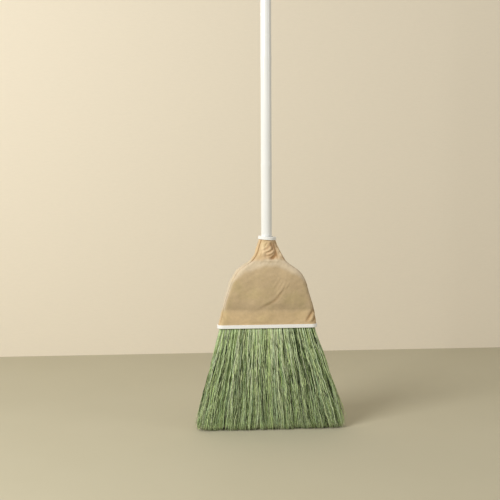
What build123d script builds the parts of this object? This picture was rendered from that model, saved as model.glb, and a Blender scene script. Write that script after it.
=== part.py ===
from build123d import *

import os
from math import radians, tan

os.makedirs("parts", exist_ok=True)

# A long-handled room broom: a film-covered bamboo handle bound into seven bundles of
# broomcorn, a cloth cover over the bundles, and the loose bristles fanning out below it.
# Millimetres. +Z runs up the handle, +Y is the broom's back, and the origin is on the
# floor in the middle of the sweeping edge.

# ---- driving dimensions: overall ----
total_length = 1300.0
bristle_length = 231.4  # from the floor to the underside of the binding strip
cover_height = 202.0  # from there to the top of the cover, inside the collar

# ---- driving dimensions: bristles ----
sole_width = 341.0
sole_depth = 44.0
sole_rise = 4.5  # how much shorter the outermost bristles are
sole_flat = 60.0  # half width of the stretch of sweeping edge that lies flat
head_shift = 7.0  # the head stands this far left of the middle of the sweeping edge
flare_height = 40.0  # the bristles spread most quickly down to this height
flare_gain = 12.4  # how far their outline there stands out from a straight side
tuft_gap = 1.0
flex_angle = 20.0
flex_margin = 2.5  # degrees of room beyond the flex angle
flex_gap = 0.5  # between the stalks' lower ends and the ridge of the bristle tufts

# ---- driving dimensions: handle ----
handle_diameter = 24.0
handle_shift = 1.0  # the handle enters the neck this far left of its centre
handle_depth = 99.5  # how far it reaches down inside the cover
film_thickness = 0.35
film_clearance = 0.05
film_seat_gap = 1.2  # from the collar's top to the foot of the film, which clears its tilt
culm_wall = 4.0
culm_point = 2.5
culm_clearance = 0.05
diaphragm = 5.0
vent_diameter = 4.0
node_pitch = 237.0
first_node = 24.0  # above the culm's lower end

# ---- driving dimensions: end cap ----
eye_radius = 11.0
eye_thickness = 8.0
hang_hole_diameter = 9.0
cap_rim_height = 4.0
cap_rim_step = 0.7
cap_neck = 13.0  # from the rim to the centre of the hanging hole
plug_depth = 14.0
plug_clearance = 0.1

# ---- driving dimensions: binding strip ----
strip_width = 226.0
strip_depth = 28.0
strip_height = 7.8
strip_wall = 2.0
strip_inner_wall = 1.2
strip_floor = 1.8
strip_edge_round = 0.8

# ---- driving dimensions: collar ----
collar_height = 6.8
collar_overlap = 3.2  # how far the cover's top stands up inside the collar
collar_flange = 2.0
collar_wall = 1.35
collar_slack = 1.4  # round the very top of the cover
collar_clearance = 0.25
collar_tilt = 4.2
collar_round = 1.0

# ---- driving dimensions: cover ----
cloth = 1.2
cloth_clearance = 0.1
lining_gap = 1.7  # between the cloth and the stalks
neck_slack = 1.0  # between the cloth and the gathered stalk ends
neck_flattening = 1.3  # how much narrower the neck is from front to back
belly_depth = 44.0
# From the strip up to the collar: the rise, from 0 to 1, the width, from 1 at the hem to 0 at
# the neck, and the depth, from 0 at the neck to 1 at the belly. The hem is flatter than both.
cover_outline = (
    (0.077, 0.958, -1.12),
    (0.245, 0.880, -0.31),
    (0.410, 0.783, 0.44),
    (0.526, 0.696, 0.87),
    (0.594, 0.620, 1.00),
    (0.641, 0.540, 0.94),
    (0.700, 0.388, 0.75),
    (0.756, 0.240, 0.50),
    (0.824, 0.141, 0.25),
    (0.908, 0.067, 0.10),
    (0.955, 0.032, 0.05),
)

# ---- driving dimensions: stalks and what binds them ----
bundle_count = 7
bundle_gap = 1.6
core_margin = 8.0  # stalks each side of the handle in the middle bundle
shoulder_depth = 40.5  # from the cover's top down to the bundles' tops
neck_wall = 2.65  # the gathered stalk ends at their thinnest
neck_length = 60.0
neck_setback = 2.5  # from the cover's top down to the stalk ends
neck_clearance = 0.2
thread_diameter = 1.0
thread_clearance = 0.35
# Each row of stitches lies at one line of the cover's outline, counted from the strip.
stitch_rows = {"stitch_row_lower": 1, "stitch_row_middle": 2, "stitch_row_upper": 3}
wire_diameter = 1.2
wire_clearance = 0.05
wire_pitch = 2.4
wire_turns = 8
wire_depth = 33.0  # from the cover's top down to the first turn
nail_diameter = 2.0
nail_head_diameter = 4.0
nail_head_thickness = 0.8
nail_length = 29.0
nail_depth = 37.0  # from the cover's top down to the nail
nail_clearance = 0.05

# ---- derived values ----
strip_bottom = bristle_length
strip_top = strip_bottom + strip_height
cover_top = strip_bottom + cover_height
head_x = -head_shift
handle_x = head_x - handle_shift

handle_radius = handle_diameter / 2
culm_radius = handle_radius - film_thickness - film_clearance
culm_bore = culm_radius - culm_wall
hang_height = total_length - eye_radius
culm_top = hang_height - cap_neck - cap_rim_height
handle_bottom = cover_top - handle_depth

neck_radius = culm_radius + culm_clearance + handle_shift + neck_wall
neck_top = cover_top - neck_setback
neck_bottom = neck_top - neck_length
bundle_top = cover_top - shoulder_depth
nail_height = cover_top - nail_depth
wire_start = cover_top - wire_depth

cover_top_width = 2 * (neck_radius + neck_slack + cloth)
collar_skirt = cover_top_width / 2 + collar_slack
collar_radius = collar_skirt + collar_wall
collar_bottom = cover_top - collar_overlap
collar_top = collar_bottom + collar_height
collar_drop = collar_radius * tan(radians(collar_tilt))
mouth_height = collar_bottom - collar_drop
mouth_width = 2 * (collar_skirt - collar_clearance)

hem_inset = strip_wall + cloth_clearance
hem_width = strip_width - 2 * hem_inset
hem_depth = strip_depth - 2 * hem_inset
bundle_inset = cloth + lining_gap
bundle_half_width = hem_width / 2 - bundle_inset
core_half_width = handle_radius + handle_shift + core_margin
# The gaps between bundles and between tufts all point at one spot above the strip's middle.
fan_height = strip_bottom * sole_width / (sole_width - 2 * bundle_half_width)
fan_margin = 15.0  # puts the outermost fan lines beyond the bundles' outline
reach = sole_width  # longer than any cut has to be


def cover_station(rise, width_share, depth_share):
    """Height, width and depth of the cover at one line of its outline."""
    mouth_depth = mouth_width - neck_flattening
    height = strip_top + rise * (mouth_height - strip_top)
    width = mouth_width + width_share * (hem_width - mouth_width)
    depth = mouth_depth + depth_share * (belly_depth - mouth_depth)
    return height, width, depth


head_outline = (
    (strip_top, hem_width, hem_depth),
    *[cover_station(*line) for line in cover_outline],
    cover_station(1, 0, 0),
    (cover_top, cover_top_width, cover_top_width - neck_flattening / 2),
)


def save(part, name):
    part.label = name
    export_step(part, f"parts/{name}.step")


def head_form(inset):
    """The solid outline of the covered head, drawn in by inset all round."""
    with BuildPart() as form:
        with BuildSketch(Plane.XY.offset(strip_bottom)):
            with Locations((head_x, 0)):
                SlotOverall(hem_width - 2 * inset, hem_depth - 2 * inset)
        extrude(amount=strip_height)
        for height, width, depth in head_outline:
            with BuildSketch(Plane.XY.offset(height)):
                with Locations((head_x, 0)):
                    SlotOverall(width - 2 * inset, depth - 2 * inset)
        loft()
    return form.part


def bristle_form():
    """The solid outline of all the bristles, from the strip's underside to the floor."""
    ridge_width = 2 * bundle_half_width
    ridge_depth = hem_depth - 2 * bundle_inset
    flare_share = flare_height / strip_bottom
    flare_depth = sole_depth + flare_share * (ridge_depth - sole_depth)
    flare_width = sole_width + flare_share * (ridge_width - sole_width) + flare_gain
    stations = (
        (0, 0, sole_width, sole_depth),
        (flare_height, head_x * flare_share, flare_width, flare_depth),
        (strip_bottom, head_x, ridge_width, ridge_depth),
    )
    with BuildPart() as form:
        for height, shift, width, depth in stations:
            with BuildSketch(Plane.XY.offset(height)):
                with Locations((shift, 0)):
                    SlotOverall(width, depth)
        loft(ruled=True)
    return form.part


def fan_edges():
    """Distances from the centre line to the bundles' edges, at the strip's underside."""
    side_count = bundle_count // 2
    side_width = (bundle_half_width - core_half_width) / side_count
    right = [core_half_width + side_width * step for step in range(side_count)]
    right.append(bundle_half_width + fan_margin)
    return [-edge for edge in reversed(right)] + right


def fan_x(edge, height):
    """Where the fan line that starts at an edge stands at a height."""
    share = (fan_height - height) / (fan_height - strip_bottom)
    shift = head_x * min(height / strip_bottom, 1)
    return shift + edge * share


def sole_z(x):
    """Height of the sweeping edge above the floor: flat in the middle, rising to the ends."""
    beyond = max(abs(x) - sole_flat, 0) / (sole_width / 2 - sole_flat)
    return sole_rise * beyond**2


# ---- handle ----
def make_culm():
    """The bamboo culm: hollow between its nodes, with each diaphragm pierced by a vent."""
    lowest_node = handle_bottom + first_node
    node_count = 1 + int((culm_top - plug_depth - diaphragm - lowest_node) // node_pitch)
    nodes = [lowest_node + node_pitch * step for step in range(node_count)]
    floors = [handle_bottom] + [node + diaphragm / 2 for node in nodes]
    ceilings = [node - diaphragm / 2 for node in nodes] + [culm_top]
    with BuildPart() as culm:
        with BuildSketch(Plane.XY.offset(handle_bottom)):
            with Locations((handle_x, 0)):
                Circle(culm_radius)
        extrude(amount=culm_top - handle_bottom)
        chamfer(culm.faces().sort_by(Axis.Z)[0].edges(), culm_point)
        for floor, ceiling in zip(floors, ceilings):
            with BuildSketch(Plane.XY.offset(floor)):
                with Locations((handle_x, 0)):
                    Circle(culm_bore)
            extrude(amount=ceiling - floor, mode=Mode.SUBTRACT)
        with BuildSketch(Plane.XY.offset(handle_bottom)):
            with Locations((handle_x, 0)):
                Circle(vent_diameter / 2)
        extrude(amount=culm_top - handle_bottom, mode=Mode.SUBTRACT)
        with BuildSketch(Plane.XZ):
            with Locations((head_x, nail_height)):
                Circle(nail_diameter / 2 + nail_clearance)
        extrude(amount=reach, both=True, mode=Mode.SUBTRACT)
    save(culm.part, "handle_culm")


def make_film():
    """The plastic film shrunk over the culm, from the collar to the end cap."""
    foot = collar_top + film_seat_gap
    with BuildPart() as film:
        with BuildSketch(Plane.XY.offset(foot)):
            with Locations((handle_x, 0)):
                Circle(handle_radius)
                Circle(culm_radius + film_clearance, mode=Mode.SUBTRACT)
        extrude(amount=culm_top - foot)
    save(film.part, "handle_film")


def make_end_cap():
    """The plug in the culm's top, with a rim and a flat eye to hang the broom by."""
    with BuildPart() as cap:
        with BuildSketch(Plane.XY.offset(culm_top - plug_depth)):
            with Locations((handle_x, 0)):
                Circle(culm_bore - plug_clearance)
        extrude(amount=plug_depth)
        with BuildSketch(Plane.XY.offset(culm_top)):
            with Locations((handle_x, 0)):
                Circle(handle_radius - cap_rim_step)
        extrude(amount=cap_rim_height)
        with BuildSketch(Plane.XZ):
            with Locations((handle_x, hang_height)):
                Circle(eye_radius)
            with Locations((handle_x, hang_height - cap_neck / 2)):
                Rectangle(2 * eye_radius, cap_neck)
        extrude(amount=eye_thickness / 2, both=True)
        with BuildSketch(Plane.XZ):
            with Locations((handle_x, hang_height)):
                Circle(hang_hole_diameter / 2)
        extrude(amount=eye_thickness, both=True, mode=Mode.SUBTRACT)
    save(cap.part, "end_cap")


# ---- collar ----
def make_collar():
    """The ring pushed down over the gathered top of the cover. It sits a little askew."""
    seat = Plane((head_x, 0, collar_bottom)).rotated((0, collar_tilt, 0))
    with BuildPart() as collar:
        with BuildSketch(seat):
            Circle(collar_radius)
        extrude(amount=collar_height)
        fillet(collar.faces().sort_by(Axis.Z)[-1].edges(), collar_round)
        with BuildSketch(seat):
            Circle(collar_skirt)
        extrude(amount=collar_height - collar_flange, mode=Mode.SUBTRACT)
        with BuildSketch(seat):
            Circle(handle_radius + handle_shift + collar_clearance)
        extrude(amount=collar_height, mode=Mode.SUBTRACT)
    save(collar.part, "collar_ring")


# ---- cover and binding strip ----
def make_cover(name, side):
    """One panel of the cloth cover, front or back, from the strip's groove to the collar."""
    outside = head_form(0)
    inside = head_form(cloth)
    hem = strip_bottom + strip_floor + cloth_clearance
    with BuildPart() as panel:
        add(outside)
        add(inside, mode=Mode.SUBTRACT)
        split(bisect_by=Plane.XY.offset(hem), keep=Keep.TOP)
        split(bisect_by=Plane.XZ, keep=side)
    save(panel.part, name)


def make_strip():
    """The binding strip: a ring with a groove in its top that the cover's hem stands in."""
    groove_outer = strip_wall
    groove_inner = strip_wall + cloth + 2 * cloth_clearance
    bore_inset = groove_inner + strip_inner_wall
    with BuildPart() as strip:
        with BuildSketch(Plane.XY.offset(strip_bottom)):
            with Locations((head_x, 0)):
                SlotOverall(strip_width, strip_depth)
        extrude(amount=strip_height)
        fillet(strip.faces().sort_by(Axis.Z)[0].edges(), strip_edge_round)
        fillet(strip.faces().sort_by(Axis.Z)[-1].edges(), strip_edge_round)
        with BuildSketch(Plane.XY.offset(strip_bottom)):
            with Locations((head_x, 0)):
                SlotOverall(strip_width - 2 * bore_inset, strip_depth - 2 * bore_inset)
        extrude(amount=strip_height, mode=Mode.SUBTRACT)
        with BuildSketch(Plane.XY.offset(strip_bottom + strip_floor)):
            with Locations((head_x, 0)):
                SlotOverall(strip_width - 2 * groove_outer, strip_depth - 2 * groove_outer)
                SlotOverall(
                    strip_width - 2 * groove_inner,
                    strip_depth - 2 * groove_inner,
                    mode=Mode.SUBTRACT,
                )
        extrude(amount=strip_height, mode=Mode.SUBTRACT)
    save(strip.part, "binding_strip")


# ---- stalks inside the cover ----
def make_bundle(index, form):
    """One bundle of stalks, from the strip's underside to the shoulder."""
    edges = fan_edges()
    inset = bundle_gap / 2
    left, right = edges[index - 1] + inset, edges[index] - inset
    with BuildPart() as bundle:
        with BuildSketch(Plane.XZ):
            with BuildLine():
                Polyline(
                    (fan_x(left, strip_bottom), strip_bottom),
                    (fan_x(right, strip_bottom), strip_bottom),
                    (fan_x(right, bundle_top), bundle_top),
                    (fan_x(left, bundle_top), bundle_top),
                    close=True,
                )
            make_face()
        extrude(amount=reach, both=True)
        add(form, mode=Mode.INTERSECT)
        with BuildSketch(Plane.XY.offset(neck_bottom)):
            with Locations((head_x, 0)):
                Circle(neck_radius + neck_clearance)
        extrude(amount=bundle_top - neck_bottom, mode=Mode.SUBTRACT)
        with BuildSketch(Plane.XY.offset(handle_bottom)):
            with Locations((handle_x, 0)):
                Circle(culm_radius + culm_clearance)
        extrude(amount=neck_bottom - handle_bottom, mode=Mode.SUBTRACT)
    save(bundle.part, f"stalk_bundle_{index}")


def make_neck_stalks():
    """The stalk ends gathered round the handle, which pierces them a little off centre."""
    with BuildPart() as neck:
        with BuildSketch(Plane.XY.offset(neck_bottom)):
            with Locations((head_x, 0)):
                Circle(neck_radius)
            with Locations((handle_x, 0)):
                Circle(culm_radius + culm_clearance, mode=Mode.SUBTRACT)
        extrude(amount=neck_top - neck_bottom)
        with BuildSketch(Plane.XZ):
            with Locations((head_x, nail_height)):
                Circle(nail_diameter / 2 + nail_clearance)
        extrude(amount=reach, both=True, mode=Mode.SUBTRACT)
    save(neck.part, "neck_stalks")


def make_neck_wire():
    """The wire wound round the gathered stalk ends."""
    wire_radius = wire_diameter / 2
    winding_radius = neck_radius + wire_clearance + wire_radius
    with BuildPart() as wire:
        with BuildLine():
            winding = Helix(
                pitch=wire_pitch,
                height=wire_pitch * wire_turns,
                radius=winding_radius,
                center=(head_x, 0, wire_start),
            )
        with BuildSketch(Plane(origin=winding @ 0, z_dir=winding % 0)):
            Circle(wire_radius)
        sweep(path=winding, is_frenet=True)
    save(wire.part, "neck_wire")


def make_nail():
    """The nail through the neck and both walls of the culm."""
    head_seat = Plane.XZ.offset(neck_radius)
    with BuildPart() as nail:
        with BuildSketch(head_seat):
            with Locations((head_x, nail_height)):
                Circle(nail_diameter / 2)
        extrude(amount=-nail_length)
        with BuildSketch(head_seat):
            with Locations((head_x, nail_height)):
                Circle(nail_head_diameter / 2)
        extrude(amount=nail_head_thickness)
    save(nail.part, "handle_nail")


def make_stitch_row(name, station):
    """One row of thread: a loop round all the bundles, tied through each gap between them."""
    height, width, depth = head_outline[station]
    inner = bundle_inset - thread_clearance
    outer = inner - thread_diameter
    with BuildPart() as row:
        with BuildSketch(Plane.XY.offset(height - thread_diameter / 2)):
            with Locations((head_x, 0)):
                SlotOverall(width - 2 * outer, depth - 2 * outer)
                SlotOverall(width - 2 * inner, depth - 2 * inner, mode=Mode.SUBTRACT)
        extrude(amount=thread_diameter)
        with BuildSketch(Plane.XZ):
            with Locations([(fan_x(edge, height), height) for edge in fan_edges()[1:-1]]):
                Circle(thread_diameter / 2)
        extrude(amount=depth / 2 - outer - thread_diameter / 2, both=True)
    save(row.part, name)


# ---- bristles ----
def make_tuft(index, form):
    """One tuft of bristles. Its roof slopes both ways from the flex axis, clear of the strip."""
    edges = fan_edges()
    left, right = edges[index - 1] + tuft_gap / 2, edges[index] - tuft_gap / 2
    ridge = strip_bottom - flex_gap
    eaves = ridge - strip_depth * tan(radians(flex_angle + flex_margin))
    with BuildPart() as tuft:
        with BuildSketch(Plane.XZ):
            with BuildLine():
                Polyline(
                    (fan_x(left, 0), sole_z(fan_x(left, 0))),
                    (fan_x(right, 0), sole_z(fan_x(right, 0))),
                    (fan_x(right, strip_bottom), strip_bottom),
                    (fan_x(left, strip_bottom), strip_bottom),
                    close=True,
                )
            make_face()
        extrude(amount=reach, both=True)
        add(form, mode=Mode.INTERSECT)
        with BuildSketch(Plane.YZ):
            with BuildLine():
                Polyline(
                    (0, ridge),
                    (-strip_depth, eaves),
                    (-strip_depth, -flex_gap),
                    (strip_depth, -flex_gap),
                    (strip_depth, eaves),
                    close=True,
                )
            make_face()
        extrude(amount=reach, both=True, mode=Mode.INTERSECT)
    save(tuft.part, f"bristle_tuft_{index}")


make_culm()
make_film()
make_end_cap()
make_collar()
make_cover("cover_front", Keep.TOP)
make_cover("cover_back", Keep.BOTTOM)
make_strip()
stalk_form = head_form(bundle_inset)
tuft_form = bristle_form()
for number in range(1, bundle_count + 1):
    make_bundle(number, stalk_form)
    make_tuft(number, tuft_form)
make_neck_stalks()
make_neck_wire()
make_nail()
for row_name, station in stitch_rows.items():
    make_stitch_row(row_name, station)
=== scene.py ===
from math import cos, radians, sin, sqrt

import bpy
import numpy as np
from mathutils import Euler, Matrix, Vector


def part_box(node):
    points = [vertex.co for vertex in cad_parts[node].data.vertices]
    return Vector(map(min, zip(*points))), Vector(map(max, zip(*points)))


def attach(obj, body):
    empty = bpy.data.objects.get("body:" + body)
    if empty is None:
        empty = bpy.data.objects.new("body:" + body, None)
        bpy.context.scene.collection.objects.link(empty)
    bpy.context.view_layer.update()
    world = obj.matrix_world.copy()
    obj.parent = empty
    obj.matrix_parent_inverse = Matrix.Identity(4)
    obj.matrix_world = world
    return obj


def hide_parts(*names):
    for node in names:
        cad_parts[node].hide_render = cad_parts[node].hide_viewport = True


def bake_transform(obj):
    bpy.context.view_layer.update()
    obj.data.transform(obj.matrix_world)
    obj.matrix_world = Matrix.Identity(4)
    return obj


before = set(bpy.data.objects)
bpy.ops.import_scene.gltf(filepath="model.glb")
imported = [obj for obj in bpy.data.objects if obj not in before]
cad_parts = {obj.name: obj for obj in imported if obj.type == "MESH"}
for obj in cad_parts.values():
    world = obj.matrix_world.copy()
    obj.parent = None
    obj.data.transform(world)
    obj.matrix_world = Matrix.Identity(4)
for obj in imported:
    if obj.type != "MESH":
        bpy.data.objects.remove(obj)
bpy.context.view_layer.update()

# A long-handled room broom. Its lengths are in millimetres, which MM turns into the frame's
# metres. Those of the camera, the lamps, the floor and the wall are in metres.
MM = 0.001

strip_lo, strip_hi = (np.array(corner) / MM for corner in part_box("binding_strip"))
cover_lo, cover_hi = (np.array(corner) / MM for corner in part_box("cover_front"))
film_lo, film_hi = (np.array(corner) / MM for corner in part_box("handle_film"))
head_x = (strip_lo[0] + strip_hi[0]) / 2
handle_x = (film_lo[0] + film_hi[0]) / 2
strip_bottom = strip_lo[2]
strip_top = strip_hi[2]


# ---------------------------------------------------------------- mesh helpers
def grid_faces(rows, columns, start=0, flip=False):
    """Quads of a grid of points, row by row, whose columns run round in a ring."""
    row, column = np.meshgrid(np.arange(rows - 1), np.arange(columns), indexing="ij")
    following = (column + 1) % columns
    quads = np.stack(
        [
            row * columns + column,
            row * columns + following,
            (row + 1) * columns + following,
            (row + 1) * columns + column,
        ],
        -1,
    ).reshape(-1, 4)
    return start + (quads[:, ::-1] if flip else quads)


def grid_map(rows, columns):
    """Where the quads of grid_faces lie on a map that runs from 0 to 1 both ways."""
    row, column = np.meshgrid(np.arange(rows - 1), np.arange(columns), indexing="ij")
    corners = np.array([[0, 0], [1, 0], [1, 1], [0, 1]], float)
    cell = np.stack([column.ravel(), row.ravel()], 1)[:, None] + corners
    return cell / (columns, rows - 1)


def add_object(name, data):
    """A new object in the scene."""
    new = bpy.data.objects.new(name, data)
    bpy.context.scene.collection.objects.link(new)
    return new


def make_mesh(name, points, quads, uv):
    """A smooth mesh object from points in millimetres, an array of quads and their map."""
    mesh = bpy.data.meshes.new(name)
    mesh.vertices.add(len(points))
    mesh.vertices.foreach_set("co", (points * MM).astype(np.float32).ravel())
    mesh.loops.add(quads.size)
    mesh.loops.foreach_set("vertex_index", quads.astype(np.int32).ravel())
    mesh.polygons.add(len(quads))
    mesh.polygons.foreach_set("loop_start", np.arange(0, quads.size, 4, dtype=np.int32))
    layer = mesh.uv_layers.new(name="OFBake")
    layer.data.foreach_set("uv", uv.astype(np.float32).ravel())
    mesh.update(calc_edges=True)
    mesh.validate()
    mesh.shade_smooth()
    return add_object(name, mesh)


def add_colours(piece, name, colours):
    """Gives each point of a piece a colour, as the attribute of this name."""
    layer = piece.data.color_attributes.new(name, "FLOAT_COLOR", "POINT")
    rgba = np.concatenate([colours, np.ones((len(colours), 1))], 1)
    layer.data.foreach_set("color", rgba.astype(np.float32).ravel())


def smooth_step(low, high, value):
    """From 0 at low to 1 at high, eased at both ends."""
    t = np.clip((value - low) / (high - low), 0, 1)
    return t * t * (3 - 2 * t)


def bell(away, width):
    """1 in the middle, and about a third at the width away from it."""
    return np.exp(-((away / width) ** 2))


def eased(x, xs, ys):
    """Values of a smooth curve through the points (xs, ys) that never overshoots them."""
    xs, ys = np.asarray(xs, float), np.asarray(ys, float)
    width = np.diff(xs)
    rise = np.diff(ys) / width
    slope = np.zeros(len(xs))
    same = rise[:-1] * rise[1:] > 0
    mean = 2 * rise[:-1] * rise[1:] / np.where(same, rise[:-1] + rise[1:], 1)
    slope[1:-1] = np.where(same, mean, 0)
    slope[0], slope[-1] = rise[0], rise[-1]
    i = np.clip(np.searchsorted(xs, x) - 1, 0, len(width) - 1)
    t = np.clip((x - xs[i]) / width[i], 0, 1)
    return (
        ys[i] * (1 + 2 * t) * (1 - t) ** 2
        + slope[i] * width[i] * t * (1 - t) ** 2
        + ys[i + 1] * t * t * (3 - 2 * t)
        + slope[i + 1] * width[i] * t * t * (t - 1)
    )


def waves(points, rng, count, shortest, longest):
    """Smooth random values of about -1 to 1 at points, from waves of mixed lengths."""
    total = np.zeros(points.shape[:-1])
    for _ in range(count):
        direction = rng.normal(size=points.shape[-1])
        direction /= np.linalg.norm(direction)
        length = np.exp(rng.uniform(np.log(shortest), np.log(longest)))
        total += np.sin(points @ direction * 2 * np.pi / length + rng.uniform(0, 2 * np.pi))
    return total / sqrt(count)


# ---------------------------------------------------------------- material helpers
class Nodes:
    """A short way to write a material's or the world's node tree."""

    def __init__(self, owner):
        owner.use_nodes = True
        self.tree = owner.node_tree
        self.tree.nodes.clear()

    def add(self, kind, inputs=(), **settings):
        node = self.tree.nodes.new(kind)
        for name, value in settings.items():
            setattr(node, name, value)
        for name, value in dict(inputs).items():
            socket = node.inputs[name]
            if isinstance(value, bpy.types.NodeSocket):
                self.tree.links.new(value, socket)
            else:
                socket.default_value = value
        return node

    def noise(self, where, scale, detail=3.0, roughness=0.55):
        inputs = {"Vector": where, "Scale": scale, "Detail": detail, "Roughness": roughness}
        return self.add("ShaderNodeTexNoise", inputs).outputs["Fac"]

    def times(self, a, b):
        return self.add("ShaderNodeMath", {0: a, 1: b}, operation="MULTIPLY").outputs["Value"]

    def grey(self, value):
        return self.add("ShaderNodeCombineColor", {0: value, 1: value, 2: value}).outputs[0]

    def remap(self, value, low, high, new_low, new_high):
        inputs = {
            "Value": value,
            "From Min": low,
            "From Max": high,
            "To Min": new_low,
            "To Max": new_high,
        }
        return self.add("ShaderNodeMapRange", inputs).outputs["Result"]

    def mix(self, share, a, b, blend="MIX"):
        inputs = {0: share, 6: a, 7: b}
        return self.add("ShaderNodeMix", inputs, data_type="RGBA", blend_type=blend).outputs[2]

    def stretched(self, where, scale):
        inputs = {"Vector": where, "Scale": scale}
        return self.add("ShaderNodeMapping", inputs).outputs["Vector"]

    def bump(self, height, strength, distance, under=None):
        inputs = {"Height": height, "Strength": strength, "Distance": distance}
        if under is not None:
            inputs["Normal"] = under
        return self.add("ShaderNodeBump", inputs).outputs["Normal"]

    def here(self):
        return self.add("ShaderNodeTexCoord").outputs["Object"]

    def colour_of(self, name):
        return self.add("ShaderNodeAttribute", attribute_name=name).outputs["Color"]

    def surface(self, **inputs):
        named = {key.replace("_", " "): value for key, value in inputs.items()}
        shader = self.add("ShaderNodeBsdfPrincipled", named)
        self.add("ShaderNodeOutputMaterial", {"Surface": shader.outputs["BSDF"]})


def rgb(red, green, blue):
    return (red, green, blue, 1.0)


def new_look(name):
    """A material, the nodes to write it with, and the place on the piece that they work from."""
    look = bpy.data.materials.new(name)
    n = Nodes(look)
    return look, n, n.here()


def dress(piece, look):
    """Gives every material slot of a piece, or of a node of the frame, this material."""
    if not piece.data.materials:
        piece.data.materials.append(look)
    for slot in piece.material_slots:
        slot.material = look


# ---------------------------------------------------------------- materials
def film_look():
    """Glossy white film, with the faint marks of the shrinking drawn out along the handle."""
    look, n, here = new_look("glossy_film")
    mottle = n.noise(n.stretched(here, (1, 1, 0.25)), 26.0)
    grain = n.noise(n.stretched(here, (60, 60, 1.5)), 9.0, 4.0)
    smudge = n.noise(here, 45.0, 5.0)
    colour = n.mix(
        n.remap(mottle, 0.3, 0.7, 0.0, 1.0), rgb(0.82, 0.83, 0.81), rgb(0.86, 0.865, 0.845)
    )
    n.surface(
        Base_Color=colour,
        Roughness=n.remap(smudge, 0.3, 0.75, 0.16, 0.3),
        Normal=n.bump(grain, 0.10, 0.0006),
        Coat_Weight=0.4,
        Coat_Roughness=0.08,
    )
    return look


def plastic_look():
    """Moulded white plastic, slightly scuffed."""
    look, n, here = new_look("white_plastic")
    mottle = n.noise(here, 30.0)
    pitting = n.noise(here, 1500.0, 2.0)
    scuff = n.noise(n.stretched(here, (40, 40, 160)), 3.0, 6.0, 0.7)
    colour = n.mix(
        n.remap(mottle, 0.3, 0.7, 0.0, 1.0), rgb(0.86, 0.86, 0.84), rgb(0.90, 0.90, 0.885)
    )
    fine = n.bump(pitting, 0.06, 0.0002)
    n.surface(
        Base_Color=colour,
        Roughness=n.remap(scuff, 0.35, 0.7, 0.26, 0.42),
        Normal=n.bump(scuff, 0.05, 0.0005, fine),
    )
    return look


def cloth_look():
    """Plain-weave cloth. Its attribute "tint" holds the colour of each part of the cover, with the
    painted sheen, shade and light of its edges and folds.
    """
    look, n, here = new_look("cover_cloth")
    soft = n.noise(here, 26.0, 4.0)
    fine = n.noise(here, 150.0, 4.0)
    shade = n.times(n.remap(soft, 0.3, 0.7, 0.91, 1.09), n.remap(fine, 0.3, 0.7, 0.95, 1.05))
    colour = n.mix(1.0, n.colour_of("tint"), n.grey(shade), "MULTIPLY")
    olive = n.noise(here, 19.0, 2.0)
    greener = n.mix(1.0, colour, rgb(0.93, 0.97, 0.86), "MULTIPLY")
    colour = n.mix(n.remap(olive, 0.52, 0.7, 0.0, 0.6), colour, greener)
    yarn = {"Vector": here, "Scale": 330.0, "Distortion": 0.6, "Detail Scale": 2.0}
    weft = n.add("ShaderNodeTexWave", yarn, bands_direction="Z").outputs["Fac"]
    warp = n.add("ShaderNodeTexWave", yarn, bands_direction="X").outputs["Fac"]
    crumple = n.noise(here, 70.0, 3.0)
    under = n.bump(crumple, 0.45, 0.002)
    n.surface(
        Base_Color=colour,
        Roughness=n.remap(soft, 0.3, 0.7, 0.82, 0.95),
        Normal=n.bump(n.times(warp, weft), 0.12, 0.0003, under),
        Sheen_Weight=0.25,
        Sheen_Roughness=0.5,
        Specular_IOR_Level=0.2,
    )
    return look


def bristle_look():
    """Each strand carries its own colour, and fine streaks run along it."""
    look, n, here = new_look("bristles")
    streak = n.noise(n.stretched(here, (1, 1, 0.16)), 900.0, 2.0)
    tone = n.grey(n.remap(streak, 0.3, 0.7, 0.66, 1.34))
    colour = n.mix(1.0, n.colour_of("strand"), tone, "MULTIPLY")
    n.surface(
        Base_Color=colour,
        Roughness=n.remap(streak, 0.3, 0.7, 0.5, 0.68),
        Specular_IOR_Level=0.35,
    )
    return look


def stalk_look(name, dark, pale, scale):
    """Dry stalks or bamboo, with fibres of two colours that run upwards."""
    look, n, here = new_look(name)
    stem = n.noise(n.stretched(here, (1, 1, 0.04)), scale, 3.0)
    patch = n.noise(here, 40.0)
    colour = n.mix(n.remap(stem, 0.35, 0.65, 0.0, 1.0), dark, pale)
    colour = n.mix(n.remap(patch, 0.4, 0.8, 0.0, 0.5), colour, rgb(0.33, 0.30, 0.14))
    n.surface(
        Base_Color=colour,
        Roughness=n.remap(stem, 0.3, 0.7, 0.55, 0.75),
        Normal=n.bump(stem, 0.8, 0.0015),
    )
    return look


def thread_look():
    """Twisted cotton thread."""
    look, n, here = new_look("sewing_thread")
    ply = {"Vector": here, "Scale": 260.0, "Distortion": 1.0}
    twist = n.add("ShaderNodeTexWave", ply, bands_direction="DIAGONAL").outputs["Fac"]
    colour = n.mix(twist, rgb(0.66, 0.62, 0.52), rgb(0.80, 0.77, 0.68))
    n.surface(Base_Color=colour, Roughness=0.8, Normal=n.bump(twist, 0.4, 0.0003))
    return look


def wire_look():
    """Drawn steel, as of the wire and the nail."""
    look, n, here = new_look("steel_wire")
    draw = n.noise(n.stretched(here, (1, 1, 8)), 300.0, 3.0)
    colour = n.mix(draw, rgb(0.46, 0.46, 0.45), rgb(0.62, 0.62, 0.60))
    n.surface(
        Base_Color=colour,
        Metallic=1.0,
        Roughness=n.remap(draw, 0.3, 0.7, 0.3, 0.5),
        Normal=n.bump(draw, 0.1, 0.0002),
    )
    return look


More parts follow.
